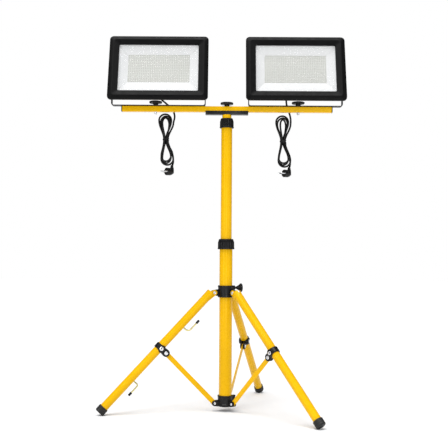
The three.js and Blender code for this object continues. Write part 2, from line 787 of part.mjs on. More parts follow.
function lampHead(side) {
  const sign = side === 'left' ? -1 : 1;
  const named = (piece) => `${side}_${piece}`;

  const head = new THREE.Group();
  head.rotation.x = -tiltBack;
  const behindBezel = lamp.front + bezelDepth + GAP;
  const glassBack = behindBezel + glass.thickness;
  const boardBack = body.cavityFloor - GAP;
  const boardFront = boardBack - ledPanel.thickness;
  head.add(
    mesh(named('lamp_housing'), housingSolid(), blackPaint),
    mesh(named('lamp_bezel'), bezelSolid(), blackPaint),
    mesh(named('lamp_glass'), box(
      glass.width, glass.thickness, glass.height, 0, behindBezel + glass.thickness / 2, 0,
    ), clearGlass),
    mesh(named('reflector'), reflectorSolid(glassBack + GAP, boardFront - GAP), whiteReflector),
    mesh(named('led_board'), box(
      ledPanel.width + 2 * ledPanel.margin, ledPanel.thickness,
      ledPanel.height + 2 * ledPanel.margin, 0, (boardFront + boardBack) / 2, ledPanel.raise,
    ), ledPhosphor),
    mesh(named('cord_gland'), glandSolid(), blackPlastic),
  );

  const boltOffset = sign * (boltX - lampX);
  const onYoke = new THREE.Group();
  onYoke.position.set(sign * lampX, 0, tiltAxisZ);
  onYoke.add(
    head,
    mesh(named('yoke'), yokeSolid(boltOffset), blackPaint),
    mesh(named('pivot_bolt_a'), pivotBoltSolid(-1), zincSteel),
    mesh(named('pivot_bolt_b'), pivotBoltSolid(1), zincSteel),
  );

  const seat = barTop + 2 * GAP + yoke.strip;
  const knob = mesh(named('lamp_knob'), clampKnob(seat, crossbar.bottom - 9), blackPlastic);
  knob.position.x = sign * boltX;

  const cord = new THREE.Group();
  cord.position.x = sign * lampX;
  const hankAt = hankCentres[side];
  const bundle = mesh(named('cord_hank'), hankSolid(), cordRubber);
  bundle.position.set(hankAt.x, hankAt.y, hankAt.z);
  const plug = mesh(named('plug'), plugSolid(), cordRubber);
  plug.position.set(hankAt.x + plugX, hankAt.y, hankAt.z - hank.height / 2 - plugHead.below);
  plug.rotation.z = plugTurn;
  cord.add(mesh(named('cord_lead'), leadSolid(leadRoutes[side]), cordRubber), bundle, plug);
  return [onYoke, knob, cord];
}

// ---------------------------------------------------------------- assembly

const onMastAxis = new THREE.Group();
onMastAxis.add(
  ...mastTubes(),
  ...tripodHubs(),
  ...Object.keys(legAzimuths).map(tripodLeg),
  ...crossbarPieces(),
  ...lampHead('left'),
  ...lampHead('right'),
);

// The origin is on the ground, under the middle of the whole light's outline
const outline = new THREE.Box3().setFromObject(onMastAxis, true);
const middle = outline.getCenter(new THREE.Vector3());
onMastAxis.position.set(-middle.x, -middle.y, -outline.min.z);

const workLight = new THREE.Group();
workLight.add(onMastAxis);

export default workLight;
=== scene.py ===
import json
import math

import bmesh
import bpy
from mathutils import Matrix, Vector


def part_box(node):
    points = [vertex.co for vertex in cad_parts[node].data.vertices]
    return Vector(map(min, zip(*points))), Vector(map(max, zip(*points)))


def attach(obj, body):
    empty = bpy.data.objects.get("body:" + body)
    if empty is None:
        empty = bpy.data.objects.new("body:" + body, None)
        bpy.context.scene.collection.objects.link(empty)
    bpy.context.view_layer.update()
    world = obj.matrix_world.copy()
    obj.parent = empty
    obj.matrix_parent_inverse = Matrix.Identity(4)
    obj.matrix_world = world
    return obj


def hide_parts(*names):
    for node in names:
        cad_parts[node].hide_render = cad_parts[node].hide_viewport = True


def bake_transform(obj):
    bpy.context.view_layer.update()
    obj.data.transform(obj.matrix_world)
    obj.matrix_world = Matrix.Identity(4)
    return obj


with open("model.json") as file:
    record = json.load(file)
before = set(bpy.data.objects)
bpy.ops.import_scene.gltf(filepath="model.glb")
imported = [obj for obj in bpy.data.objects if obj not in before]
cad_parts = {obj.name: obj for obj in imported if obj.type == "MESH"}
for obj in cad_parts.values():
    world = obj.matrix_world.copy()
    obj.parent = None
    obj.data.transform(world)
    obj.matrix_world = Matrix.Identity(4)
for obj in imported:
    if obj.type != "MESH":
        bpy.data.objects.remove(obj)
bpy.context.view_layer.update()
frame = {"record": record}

# Lengths in this file are millimetres about the mast's axis, as in the CAD source. A piece's
# matrix turns them into metres in the row frame.
MM = 0.001
GAP = 0.3  # between touching pieces
BOLT_HOLE = 5.2  # radius of each hole for a clamp bolt
SPIN = Matrix.Rotation(math.pi / 2, 4, "Y")  # turns a piece's own axis from z to x
record = frame["record"]
SLOT = {row["node"]: row["material_slot"] for row in record["subparts"]}
BODY = {node: body for body, nodes in record["behaviour"]["bodies"].items() for node in nodes}
SIDES = {"left": -1, "right": 1}
LEGS = ("back", "right", "left")


def shift(x, y, z):
    return Matrix.Translation((x, y, z))


mast_low, mast_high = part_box("outer_tube")
AXIS = (mast_low + mast_high) / 2
AXIS.z = 0
MAST = Matrix.Translation(AXIS) @ Matrix.Scale(MM, 4)
TO_MM = MAST.inverted()


def span(node):
    """Lowest and highest corner of a CAD node, in millimetres about the mast's axis."""
    low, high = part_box(node)
    return TO_MM @ low, TO_MM @ high


# ---------------------------------------------------------------- outlines

def rounded(points, radius, steps=3, closed=False):
    """The same outline with each corner turned into a short curve."""
    points = [Vector(p) for p in points]
    curved = []
    for i, p in enumerate(points):
        if not closed and i in (0, len(points) - 1):
            curved.append(p)
            continue
        before, after = points[i - 1] - p, points[(i + 1) % len(points)] - p
        if before.angle(after, 0) > math.radians(168):
            curved.append(p)
            continue
        reach = min(radius, 0.45 * before.length, 0.45 * after.length)
        start, end = p + before.normalized() * reach, p + after.normalized() * reach
        for step in range(steps + 1):
            t = step / steps
            curved.append(start * (1 - t) ** 2 + p * 2 * t * (1 - t) + end * t ** 2)
    return curved


def arc(x, z, radius, start, end, steps=16):
    """Points on an arc, angles in degrees."""
    turns = [math.radians(start + (end - start) * i / steps) for i in range(steps + 1)]
    return [Vector((x + radius * math.cos(a), z + radius * math.sin(a))) for a in turns]


def lever(a, b, radius_a, radius_b, steps=20):
    """Two round ends of different size joined by straight sides."""
    line = Vector(b) - Vector(a)
    heading = math.degrees(math.atan2(line.y, line.x))
    spread = math.degrees(math.acos((radius_a - radius_b) / line.length))
    return (arc(*a, radius_a, heading + spread, heading - spread + 360, steps)
            + arc(*b, radius_b, heading - spread, heading + spread, steps))


def rounded_rectangle(width, height, corner, steps=6):
    """Points of the rectangle, anticlockwise, with the same number for any size."""
    x, z = width / 2 - corner, height / 2 - corner
    return (arc(x, z, corner, 0, 90, steps) + arc(-x, z, corner, 90, 180, steps)
            + arc(-x, -z, corner, 180, 270, steps) + arc(x, -z, corner, 270, 360, steps))


# ---------------------------------------------------------------- solids, as bmesh in millimetres

def loft(rings, closed=False):
    """Skin over rings of equal length: capped at both ends, or joined end to end."""
    bm = bmesh.new()
    loops = [[bm.verts.new(p) for p in ring] for ring in rings]
    pairs = list(zip(loops, loops[1:])) + ([(loops[-1], loops[0])] if closed else [])
    for a, b in pairs:
        for i in range(len(a)):
            j = (i + 1) % len(a)
            bm.faces.new((a[i], a[j], b[j], b[i]))
    if not closed:
        bm.faces.new(loops[0])
        bm.faces.new(loops[-1])
    bmesh.ops.remove_doubles(bm, verts=bm.verts, dist=1e-4)
    bmesh.ops.recalc_face_normals(bm, faces=bm.faces)
    return bm


def revolved(profile, segments=64, ring=False, ribs=0):
    """A solid of revolution about z from (radius, z) points, or (radius, z, depth of the ribs)."""
    def circle(r, z, depth=0.0):
        points = []
        for k in range(segments):
            a = 2 * math.pi * k / segments
            reach = r - depth * abs(math.cos(ribs * a / 2)) ** 3
            points.append((reach * math.cos(a), reach * math.sin(a), z))
        return points
    return loft([circle(*p) for p in profile], closed=ring)


def turned(profile, edge=1.0, segments=64, ring=False, ribs=0):
    """A solid of revolution whose corners are rounded off. Its profile is as for revolved."""
    profile = [(*point, 0)[:3] for point in profile]
    return revolved(rounded(profile, edge, closed=ring), segments, ring, ribs)


def bevelled(bm, width, angle=35, segments=2):
    """Rounds every edge that is sharper than the angle."""
    sharp = [e for e in bm.edges
             if len(e.link_faces) == 2 and e.calc_face_angle(0) > math.radians(angle)]
    bmesh.ops.bevel(bm, geom=sharp, offset=width, segments=segments, profile=0.5,
                    affect="EDGES", clamp_overlap=True)
    return bm


def plate(outline, y0, y1, edge=0.0):
    """An outline in x and z, given thickness from y0 to y1."""
    bm = loft([[(x, y, z) for x, z in outline] for y in (y0, y1)])
    return bevelled(bm, edge) if edge else bm


def block(size, centre, edge=1.0):
    bm = bmesh.new()
    bmesh.ops.create_cube(bm, size=1)
    bmesh.ops.scale(bm, vec=size, verts=bm.verts)
    bevelled(bm, edge, segments=3)
    bmesh.ops.translate(bm, vec=centre, verts=bm.verts)
    return bm


def moved(bm, matrix):
    bm.transform(matrix)
    return bm


def rod(radius, start, end, segments=48, edge=0.6):
    """A round bar between two points."""
    line = Vector(end) - Vector(start)
    profile = [(0, 0), (radius, 0), (radius, line.length), (0, line.length)]
    turn = line.to_track_quat("Z", "Y").to_matrix().to_4x4()
    return moved(turned(profile, edge, segments), Matrix.Translation(start) @ turn)


def joined(*parts):
    """Separate shells in one mesh."""
    whole = bmesh.new()
    for part in parts:
        mesh = bpy.data.meshes.new("part")
        part.to_mesh(mesh)
        whole.from_mesh(mesh)
        bpy.data.meshes.remove(mesh)
    return whole


def combined(operation, first, *others):
    """Boolean of closed solids."""
    def temporary(bm):
        mesh = bpy.data.meshes.new("temporary")
        bm.to_mesh(mesh)
        made = bpy.data.objects.new("temporary", mesh)
        bpy.context.scene.collection.objects.link(made)
        return made
    target = temporary(first)
    tools = [temporary(bm) for bm in others]
    for tool in tools:
        modifier = target.modifiers.new("boolean", "BOOLEAN")
        modifier.operation = operation
        modifier.object = tool
        modifier.solver = "EXACT"
    graph = bpy.context.evaluated_depsgraph_get()
    result = bmesh.new()
    result.from_mesh(target.evaluated_get(graph).to_mesh())
    for made in [target, *tools]:
        mesh = made.data
        bpy.data.objects.remove(made)
        bpy.data.meshes.remove(mesh)
    bmesh.ops.remove_doubles(result, verts=result.verts, dist=1e-4)
    return result


def union(first, *others):
    return combined("UNION", first, *others)


def cut(first, *others):
    return combined("DIFFERENCE", first, *others)


def smooth_path(points, steps):
    """A Catmull-Rom curve through the points."""
    points = [Vector(p) for p in points]
    ends = [2 * points[0] - points[1], *points, 2 * points[-1] - points[-2]]
    path = []
    for a, b, c, d in zip(ends, ends[1:], ends[2:], ends[3:]):
        for step in range(steps):
            t = step / steps
            path.append(0.5 * (2 * b + (c - a) * t + (2 * a - 5 * b + 4 * c - d) * t ** 2
                               + (3 * b - a - 3 * c + d) * t ** 3))
    return [*path, points[-1]]


def swept(path, section):
    """A section of (across, beside) points carried along a path without twisting."""
    rings = []
    across = None
    for i, p in enumerate(path):
        along = (path[min(i + 1, len(path) - 1)] - path[max(i - 1, 0)]).normalized()
        if across is None:
            across = along.orthogonal().normalized()
        across = (across - along * across.dot(along)).normalized()
        beside = along.cross(across)
        rings.append([p + across * u + beside * v for u, v in section])
    return loft(rings)


def circle_section(radius, sides=12):
    turns = [2 * math.pi * k / sides for k in range(sides)]
    return [(radius * math.cos(a), radius * math.sin(a)) for a in turns]


# ---------------------------------------------------------------- materials

def shader_node(tree, kind, inputs=None, **settings):
    node = tree.nodes.new("ShaderNode" + kind)
    for key, value in settings.items():
        setattr(node, key, value)
    for key, value in (inputs or {}).items():
        if isinstance(value, bpy.types.NodeSocket):
            tree.links.new(value, node.inputs[key])
        else:
            node.inputs[key].default_value = value
    return node


def noise(tree, where, scale, detail=2.0):
    node = shader_node(tree, "TexNoise", {"Vector": where, "Scale": scale, "Detail": detail})
    return node.outputs["Fac"]


def mapped(tree, value, low, high, to_low, to_high):
    node = shader_node(tree, "MapRange", {
        "Value": value, "From Min": low, "From Max": high, "To Min": to_low, "To Max": to_high,
    })
    return node.outputs["Result"]


def mixed(tree, share, a, b):
    node = shader_node(tree, "Mix", data_type="RGBA")
    for index, value in ((0, share), (6, a), (7, b)):
        if isinstance(value, bpy.types.NodeSocket):
            tree.links.new(value, node.inputs[index])
        else:
            node.inputs[index].default_value = value
    return node.outputs[2]


def product(tree, a, b):
    return shader_node(tree, "Math", {0: a, 1: b}, operation="MULTIPLY").outputs[0]


def shade(colour, factor):
    return (*[min(1.0, c * factor) for c in colour], 1)


def material(name, colour, roughness, metallic=0.0, drift=0.06, rough_drift=0.08, grain=900,
             bump=0.03, wear=None, dust=0.0, alpha=1.0, specular=0.5, sheen=(1.0, 1.0, 1.0)):
    """A procedural finish: colour drift, uneven gloss, fine surface grain, worn edges and dust."""
    worn_width = 0.0008
    made = bpy.data.materials.new(name)
    made.use_nodes = True
    tree = made.node_tree
    surface = tree.nodes["Principled BSDF"]
    where = shader_node(tree, "TexCoord").outputs["Object"]

    broad = mapped(tree, noise(tree, where, 7, 3), 0.35, 0.65, 0, 1)
    tint = mixed(tree, broad, shade(colour, 1 - drift), shade(colour, 1 + drift))
    gloss = mapped(tree, noise(tree, where, 60, 4), 0.3, 0.7,
                   roughness - rough_drift, roughness + rough_drift)
    if wear:
        normal = shader_node(tree, "NewGeometry").outputs["Normal"]
        soft = shader_node(tree, "Bevel", {"Radius": worn_width}, samples=6).outputs["Normal"]
        facing = shader_node(
            tree, "VectorMath", {0: normal, 1: soft}, operation="DOT_PRODUCT").outputs["Value"]
        edge = mapped(tree, facing, 0.97, 0.80, 0, 1)
        patches = mapped(tree, noise(tree, where, 160, 5), 0.48, 0.62, 0, 1)
        tint = mixed(tree, product(tree, edge, patches), tint, (*wear, 1))
    if dust:
        upward = shader_node(
            tree, "SeparateXYZ", {0: shader_node(tree, "NewGeometry").outputs["Normal"]})
        lying = mapped(tree, upward.outputs["Z"], 0.2, 1.0, 0, dust)
        specks = mapped(tree, noise(tree, where, 420, 6), 0.4, 0.7, 0.2, 1)
        tint = mixed(tree, product(tree, lying, specks), tint, (0.45, 0.43, 0.40, 1))
    height = noise(tree, where, grain, 3)
    relief = shader_node(tree, "Bump", {"Height": height, "Strength": 0.5,
                                        "Distance": bump * MM})
    tree.links.new(tint, surface.inputs["Base Color"])
    tree.links.new(gloss, surface.inputs["Roughness"])
    tree.links.new(relief.outputs["Normal"], surface.inputs["Normal"])
    surface.inputs["Metallic"].default_value = metallic
    surface.inputs["Alpha"].default_value = alpha
    surface.inputs["Specular IOR Level"].default_value = specular
    surface.inputs["Specular Tint"].default_value = (*sheen, 1)
    return made


FINISH = {
    "yellow_paint": material(
        "yellow_powder_coat", (0.71, 0.39, 0.0005), 0.28, drift=0.06, grain=700, bump=0.04,
        wear=(0.88, 0.56, 0.03), specular=0.48, sheen=(1.0, 0.78, 0.22)),
    "black_plastic": material(
        "black_nylon", (0.005, 0.005, 0.0054), 0.32, drift=0.15, grain=1500, bump=0.05,
        wear=(0.05, 0.05, 0.053), dust=0.01, specular=0.24),
    "black_rubber": material(
        "black_rubber", (0.009, 0.009, 0.009), 0.5, drift=0.15, grain=1100, bump=0.08,
        wear=(0.045, 0.045, 0.045), dust=0.08, specular=0.35),
    "black_paint": material(
        "black_satin_paint", (0.006, 0.006, 0.0065), 0.34, drift=0.12, grain=900, bump=0.04,
        wear=(0.05, 0.05, 0.053), dust=0.02, specular=0.35),
    "black_aluminium": material(
        "black_cast_aluminium", (0.0032, 0.0032, 0.0034), 0.42, drift=0.12, grain=1300, bump=0.07,
        wear=(0.035, 0.035, 0.038), dust=0.001, specular=0.1),
    "zinc_steel": material(
        "zinc_plated_steel", (0.74, 0.75, 0.77), 0.28, metallic=1.0, drift=0.08, grain=600,
        bump=0.02, wear=(0.9, 0.9, 0.92)),
    "hook_wire": material(
        "yellow_zinc_wire", (0.62, 0.56, 0.24), 0.30, metallic=0.75, drift=0.14, grain=600,
        bump=0.02, wear=(0.85, 0.83, 0.70)),
    "glass": material(
        "clear_glass", (0.92, 0.95, 0.94), 0.06, drift=0.01, rough_drift=0.02, grain=20,
        bump=0.01, alpha=0.06),
    "white_reflector": material(
        "white_reflector", (0.60, 0.60, 0.60), 0.42, drift=0.015, grain=500, bump=0.03,
        specular=0.3),
    "led_phosphor": material(
        "led_phosphor", (0.385, 0.385, 0.35), 0.5, drift=0.03, grain=900, bump=0.03,
        specular=0.3),
    "cord_rubber": material(
        "cord_rubber", (0.004, 0.004, 0.0043), 0.38, drift=0.15, grain=1300, bump=0.05,
        wear=(0.035, 0.035, 0.035), specular=0.2),
    "led_board": material(
        "led_board_white", (0.56, 0.56, 0.53), 0.45, drift=0.02, grain=300, bump=0.02,
        specular=0.3),
}


# ---------------------------------------------------------------- pieces

def piece(name, bm, place, node, finish=None):
    """A piece of the look, placed by the matrix given and taking the finish of a CAD node."""
    mesh = bpy.data.meshes.new(name)
    bmesh.ops.recalc_face_normals(bm, faces=bm.faces)
    bm.transform(place)
    bm.to_mesh(mesh)
    bm.free()
    mesh.shade_smooth()
    mesh.set_sharp_from_angle(angle=math.radians(38))
    mesh.materials.append(FINISH[finish or SLOT[node]])
    made = bpy.data.objects.new(name, mesh)
    bpy.context.scene.collection.objects.link(made)
    return made


def finished(node, bm, place=MAST, finish=None):
    """The detailed piece that stands for one CAD node."""
    made = piece(f"{node}_finished", bm, place, node, finish)
    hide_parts(node)
    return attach(made, BODY[node])


def extra(name, bm, place, node, finish=None):
    """A detail that belongs to a CAD node but has its own finish."""
    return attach(piece(name, bm, place, node, finish), BODY[node])


# ---------------------------------------------------------------- camera

camera = bpy.data.objects.new("camera", bpy.data.cameras.new("camera"))
camera.data.sensor_width = 36
camera.data.lens = 71.56
camera.location = MAST @ Vector((0, -3124, 559))
camera.rotation_euler = (
    Matrix.Rotation(math.radians(0.1415), 3, "Z")
    @ Matrix.Rotation(math.radians(90 + 1.71), 3, "X")
    @ Matrix.Rotation(math.radians(0.35), 3, "Z")
).to_euler()
bpy.context.scene.collection.objects.link(camera)
bpy.context.scene.camera = camera


# ---------------------------------------------------------------- cords

CORD = 6.4  # diameter
LAMP_X = 241
HANK_HALF = 93.5
PLUG_TURN = math.radians(35)
LEADS = {
    "left": [
        (-15, 13.8, 1153.4), (-15, 10.3, 1143.5), (-14, 9.2, 1133), (-11.5, 11.2, 1122.5),
        (-6.5, 16.4, 1112), (1, 23.4, 1102), (11, 29.6, 1092), (23, 33.6, 1082.5),
        (34.5, 35, 1073), (44.5, 35, 1062), (51.5, 33.5, 1050.5), (55, 31.5, 1039),
        (54.8, 30.5, 1027.5), (51.8, 30, 1015),
    ],
    "right": [
        (-15, 13.8, 1153.4), (-15.6, 10.3, 1143.5), (-18, 9.2, 1133), (-22, 11.2, 1122.5),
        (-26, 16.4, 1112), (-29, 23.4, 1101.5), (-30, 29.6, 1091), (-28.5, 34, 1080),
        (-25.5, 35.5, 1068), (-21.5, 35, 1056), (-17.5, 33.5, 1044.5), (-15, 31.5, 1033),
        (-13.8, 30.5, 1021.5), (-14.2, 30, 1010.5),
    ],
}
HANKS = {"left": (25, 30, 952), "right": (-41, 30, 947.5)}


def tied(degrees, reach=7.0):
    """Where a run passes through the tie, as x and y about the middle of the hank."""
    return reach * math.cos(math.radians(degrees)), reach * math.sin(math.radians(degrees))


# Each turn goes down through the tie, round its bottom lobe, up through the tie and round its
# top lobe. A lobe is its middle, its radius and how far it is turned about the vertical.
TURNS = [
    {"down": tied(0), "bottom": (5.2, 0, -69, 21.3, 0),
     "up": tied(180), "top": (-3, 0, 68.6, 21.7, 0)},
    {"down": tied(0, reach=0), "bottom": (2.7, 5.4, -63.5, 19.8, -37),
     "up": tied(120), "top": (-2.4, 3.4, 63.3, 20, -31)},
    {"down": tied(300), "bottom": (2.2, -15.2, -59, 19.6, -26),
     "up": tied(240), "top": (-0.4, -4.4, 56.4, 20, 58)},
]
TAIL = [(24, 10.2, -56), (25.8, 10, -68), (26.2, 8.4, -79), (24.6, 4.4, -88), (22.4, 1, -97)]


def half_turn(lobe, start, end, steps=8):
    """Points round a lobe, between two angles of its own circle."""
    x, y, z, radius, turn = lobe
    across = Vector(tied(turn, radius)).to_3d()
    points = []
    for step in range(steps + 1):
        a = math.radians(start + (end - start) * step / steps)
        level = Vector((x, y, z + radius * math.sin(a)))
        points.append(level + across * math.cos(a))
    return points


def run(end, tie, steps=6):
    """A run of cord from a lobe's end down or up to the tie, the end itself left out."""
    end, tie = Vector(end), Vector(tie).to_3d()
    points = []
    for step in range(steps, -1, -1):
        t = step / steps
        point = tie.lerp(end, (1 - math.cos(math.pi * t)) / 2)
        point.z = end.z * t
        points.append(point)
    return points[1:]


def hank_turns(arrival):
    """The tied turns about the middle of the hank, from the lead's end to the plug."""
    points = []
    for turn in TURNS:
        bottom = half_turn(turn["bottom"], 0, -180)
        top = half_turn(turn["top"], 180, 0)
        points += run(arrival, turn["down"]) + run(bottom[0], turn["down"])[-2::-1] + bottom
        points += run(bottom[-1], turn["up"]) + run(top[0], turn["up"])[-2::-1] + top
        arrival = top[-1]
    down = tied(60)
    points += run(arrival, down) + run(TAIL[0], down)[-2::-1]
    return points + [Vector(p) for p in TAIL]


def band_around(half_x, half_y, z, height, thickness, tilt=0.0):
    """A flat strap round the waist of the hank."""
    outline = rounded_rectangle(2 * half_x, 2 * half_y, 8, steps=8)
    outer = rounded_rectangle(2 * (half_x + thickness), 2 * (half_y + thickness), 9, steps=8)
    lip = 0.35
    rings = []
    for ring, level in ((outline, 0), (outer, lip), (outer, height - lip), (outline, height)):
        rings.append([(x, y, z + level - height / 2 + tilt * x) for x, y in ring])
    return loft(rings, closed=True)


def make_cord(side):
    hank = Vector(HANKS[side])
    lead = [Vector(p) for p in LEADS[side]]
    route = lead + [hank + p for p in hank_turns(lead[-1] - hank)]
    curve = smooth_path(route, 5)
    place = MAST @ shift(SIDES[side] * LAMP_X, 0, 0)
    made = piece(f"{side}_cord", swept(curve, circle_section(CORD / 2)), place,
                 f"{side}_cord_lead")
    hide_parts(f"{side}_cord_lead", f"{side}_cord_hank")
    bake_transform(made)

    at_hank = place @ Matrix.Translation(hank)
    tie = joined(
        band_around(10.5, 9.6, 2.0, 3.6, 1.0, tilt=0.08),
        band_around(10.6, 9.7, -2.2, 3.4, 1.0, tilt=-0.10),
        block((4.4, 3.6, 3.0), (3.4, -12.0, 0.2), 0.8),
        swept(smooth_path([(3, -12, 0), (6.4, -13.6, -2.4), (9, -14, -8), (9.4, -13.4, -15)], 5),
              [(u * 2.2, v * 0.55) for u, v in ((-1, -1), (1, -1), (1, 1), (-1, 1))]),
    )
    tie_piece = extra(f"{side}_cord_tie", tie, at_hank, f"{side}_cord_hank", "black_plastic")
    plug, pins = make_plug(side, at_hank)


def make_plug(side, at_hank):
    """A right-angled round plug with a ribbed strain relief and two pins."""
    radius, length, grip_x = 13.5, 29, 24
    at_plug = (at_hank @ shift(22, 0, -HANK_HALF - 21) @ Matrix.Rotation(PLUG_TURN, 4, "Z")
               @ shift(-grip_x, 0, 0))
    head = turned([
        (0, 0), (radius - 0.6, 0), (radius, 1.6), (radius, 9), (radius - 1.1, 10),
        (radius - 1.1, 11.4), (radius - 0.2, 12.4), (radius - 0.4, 17), (radius - 2.6, 23.5),
        (radius - 6.5, 28), (0, length),
    ], edge=1.6, segments=60)
    moved(head, SPIN)
    relief_profile = [(0, -6), (7.2, -6), (7.1, 6), (6.7, 11.5)]
    for i in range(4):
        z, r = 12 + 2.9 * i, 6.5 - 0.55 * i
        relief_profile += [(r, z), (r, z + 1.7), (r - 1.2, z + 2.0), (r - 1.2, z + 2.7)]
    relief_profile += [(4.2, 23.4), (4.1, 24), (0, 24)]
    grip = moved(turned(relief_profile, edge=0.4, segments=40), shift(grip_x, 0, 0))
    plug = finished(f"{side}_plug", union(head, grip), at_plug)
    pin = [(0, -18.4), (1.3, -18.2), (2.4, -16.6), (2.4, 1.5), (0, 1.5)]
    pins = joined(*[moved(turned(pin, edge=0.6, segments=24), shift(0, y, 0) @ SPIN)
                    for y in (-9.5, 9.5)])
    pin_piece = extra(f"{side}_plug_pins", pins, at_plug, f"{side}_plug", "zinc_steel")
    return plug, pin_piece


for side in SIDES:
    make_cord(side)


# ---------------------------------------------------------------- mast

MAST_WALL = 1.5
NUT_PLATE = 9  # thickness of the plate in the top tube's mouth


def mast_tube(node):
    low, high = span(node)
    r, inside = high.x, high.x - MAST_WALL
    return turned([(inside, low.z), (r, low.z), (r, high.z), (inside, high.z)],
                  edge=0.5, segments=96, ring=True)


def top_tube():
    """The upper tube, whose mouth is closed by the plate that the centre bolt screws into."""
    low, high = span("top_tube")
    r, inside, under = high.x, high.x - MAST_WALL, high.z - NUT_PLATE
    return turned([(inside, low.z), (r, low.z), (r, high.z), (BOLT_HOLE, high.z),
                   (BOLT_HOLE, under), (inside, under)], edge=0.5, segments=96, ring=True)


def guide_bush(node):
    """A split-ring bush below a tube, with a spigot up inside it."""
    low, high = span(node)
    r, groove, shoulder = high.x, high.x - 0.7, low.z + 20 - GAP
    return turned([
        (r, low.z), (r, low.z + 4), (groove, low.z + 5), (groove, low.z + 15), (r, low.z + 16),
        (r, shoulder), (r - 3.2, shoulder), (r - 4.5, high.z), (r - 6, high.z), (r - 6, low.z),
    ], edge=0.4, ring=True)


def bottom_plug():
    """The plug in the mast's foot, with a shallow hollow under it."""
    low, high = span("bottom_plug")
    rim, inside = 22.5, 20.7
    return turned([
        (0, low.z + 1.2), (14, low.z + 1.2), (15, low.z), (rim, low.z), (rim, low.z + 3),
        (inside, low.z + 3), (inside, high.z), (0, high.z),
    ], edge=0.8, segments=72)


def clamp_collar(node, neck_inset, tube_below, tube_above):
    """A ribbed grip nut: straight flutes, a sloping shoulder and a plain rim at the bottom."""
    low, high = span(node)
    r, z0, z1 = high.x, low.z, high.z
    neck = r - neck_inset
    step = span(tube_below)[1].z + GAP
    below, above = span(tube_below)[1].x + GAP, span(tube_above)[1].x + GAP
    rib = 1.9
    profile = [
        (below, z0), (r - 0.8, z0), (r, z0 + 1.2), (r, z0 + 4.2),
        (r - 0.5, z0 + 5.2, rib), (r - 0.7, z1 - 12, rib), (r - 1.6, z1 - 8.5, rib),
        (neck + 0.6, z1 - 3.6, 0.9 * rib), (neck - 0.2, z1 - 2.8), (neck - 0.6, z1),
        (above, z1), (above, step), (below, step),
    ]
    return turned(profile, edge=0.7, segments=180, ring=True, ribs=18)


finished("outer_tube", mast_tube("outer_tube"))
finished("mid_tube", mast_tube("mid_tube"))
finished("top_tube", top_tube())
for node in ("mid_tube_bush", "top_tube_bush"):
    finished(node, guide_bush(node))
finished("bottom_plug", bottom_plug())
finished("lower_collar", clamp_collar("lower_collar", 4, "outer_tube", "mid_tube"))
finished("upper_collar", clamp_collar("upper_collar", 3.5, "mid_tube", "top_tube"))


# ---------------------------------------------------------------- tripod

AZIMUTH = {"back": math.radians(72), "right": math.radians(-46.3), "left": math.radians(193.7)}
HUB_PIVOT = (42, 412)
BASE_PIVOT = (38.6, 28.3)
SOLE = (437.5, 10)
LEG_RADIUS, LEG_WALL, LEG_OFFSET = 14.5, 1.8, 8.6
ELBOW_ALONG, ELBOW_BELOW = 266, 28.5
ELBOW_X = LEG_OFFSET - ELBOW_BELOW
KNOB_AZIMUTH, KNOB_HEIGHT = math.radians(15), 429
PIN_RADIUS, RIVET_RADIUS, BASE_RIVET_RADIUS = 3, 3.4, 2.5
BRACE_WIDTH, BRACE_THICK, BRACE_FOOT_HOLE, BRACE_ELBOW_HOLE = 17, 3.2, 2.8, 5.2
FORK_HALF, CHEEK = 5.4, 3.4  # half the fork's slot, and the thickness of a cheek

leg_reach = math.hypot(SOLE[0] - HUB_PIVOT[0], HUB_PIVOT[1] - SOLE[1])
leg_angle = (math.atan2(SOLE[0] - HUB_PIVOT[0], HUB_PIVOT[1] - SOLE[1])
             - math.asin(LEG_OFFSET / leg_reach))
leg_length = math.sqrt(leg_reach ** 2 - LEG_OFFSET ** 2)
elbow_r = HUB_PIVOT[0] + ELBOW_ALONG * math.sin(leg_angle) + ELBOW_X * math.cos(leg_angle)
elbow_z = HUB_PIVOT[1] - ELBOW_ALONG * math.cos(leg_angle) + ELBOW_X * math.sin(leg_angle)
brace_length = math.hypot(elbow_r - BASE_PIVOT[0], elbow_z - BASE_PIVOT[1])
brace_angle = math.atan2(elbow_r - BASE_PIVOT[0], elbow_z - BASE_PIVOT[1])


def plane_of(leg):
    return Matrix.Rotation(AZIMUTH[leg], 4, "Z")


def leg_place(leg):
    """The leg's own frame: origin on its hub pivot, -z down the leg, +x to its outer side."""
    return (MAST @ plane_of(leg) @ shift(HUB_PIVOT[0], 0, HUB_PIVOT[1])
            @ Matrix.Rotation(-leg_angle, 4, "Y"))


def rod_y(radius, y0, y1, x, z, edge=0.5, segments=40):
    return rod(radius, (x, y0, z), (x, y1, z), segments, edge)


def bore(radius, z0, z1, x=0.0, segments=72):
    return rod(radius, (x, 0, z0), (x, 0, z1), segments, edge=0.01)


def top_hub():
    """The ring that slides on the mast: three ears for the legs and a boss for its knob."""
    z0, z1 = 396, 437
    r, hole = 28, 24.1
    ring = turned([(0, z0), (r, z0), (r, z0 + 5), (r - 0.9, z0 + 6), (r - 0.9, z1 - 7),
                   (r, z1 - 6), (r, z1), (0, z1)], edge=0.9, segments=96)
    ears = [moved(plate(lever((r - 8, HUB_PIVOT[1]), HUB_PIVOT, 13, 9.5), -5, 5, 1.1),
                  plane_of(leg)) for leg in LEGS]
    boss = moved(rod(8, (r - 8, 0, KNOB_HEIGHT), (r + 5, 0, KNOB_HEIGHT), edge=1.2),
                 Matrix.Rotation(KNOB_AZIMUTH, 4, "Z"))
    return cut(union(ring, *ears, boss), bore(hole, z0 - 10, z1 + 10, segments=96))


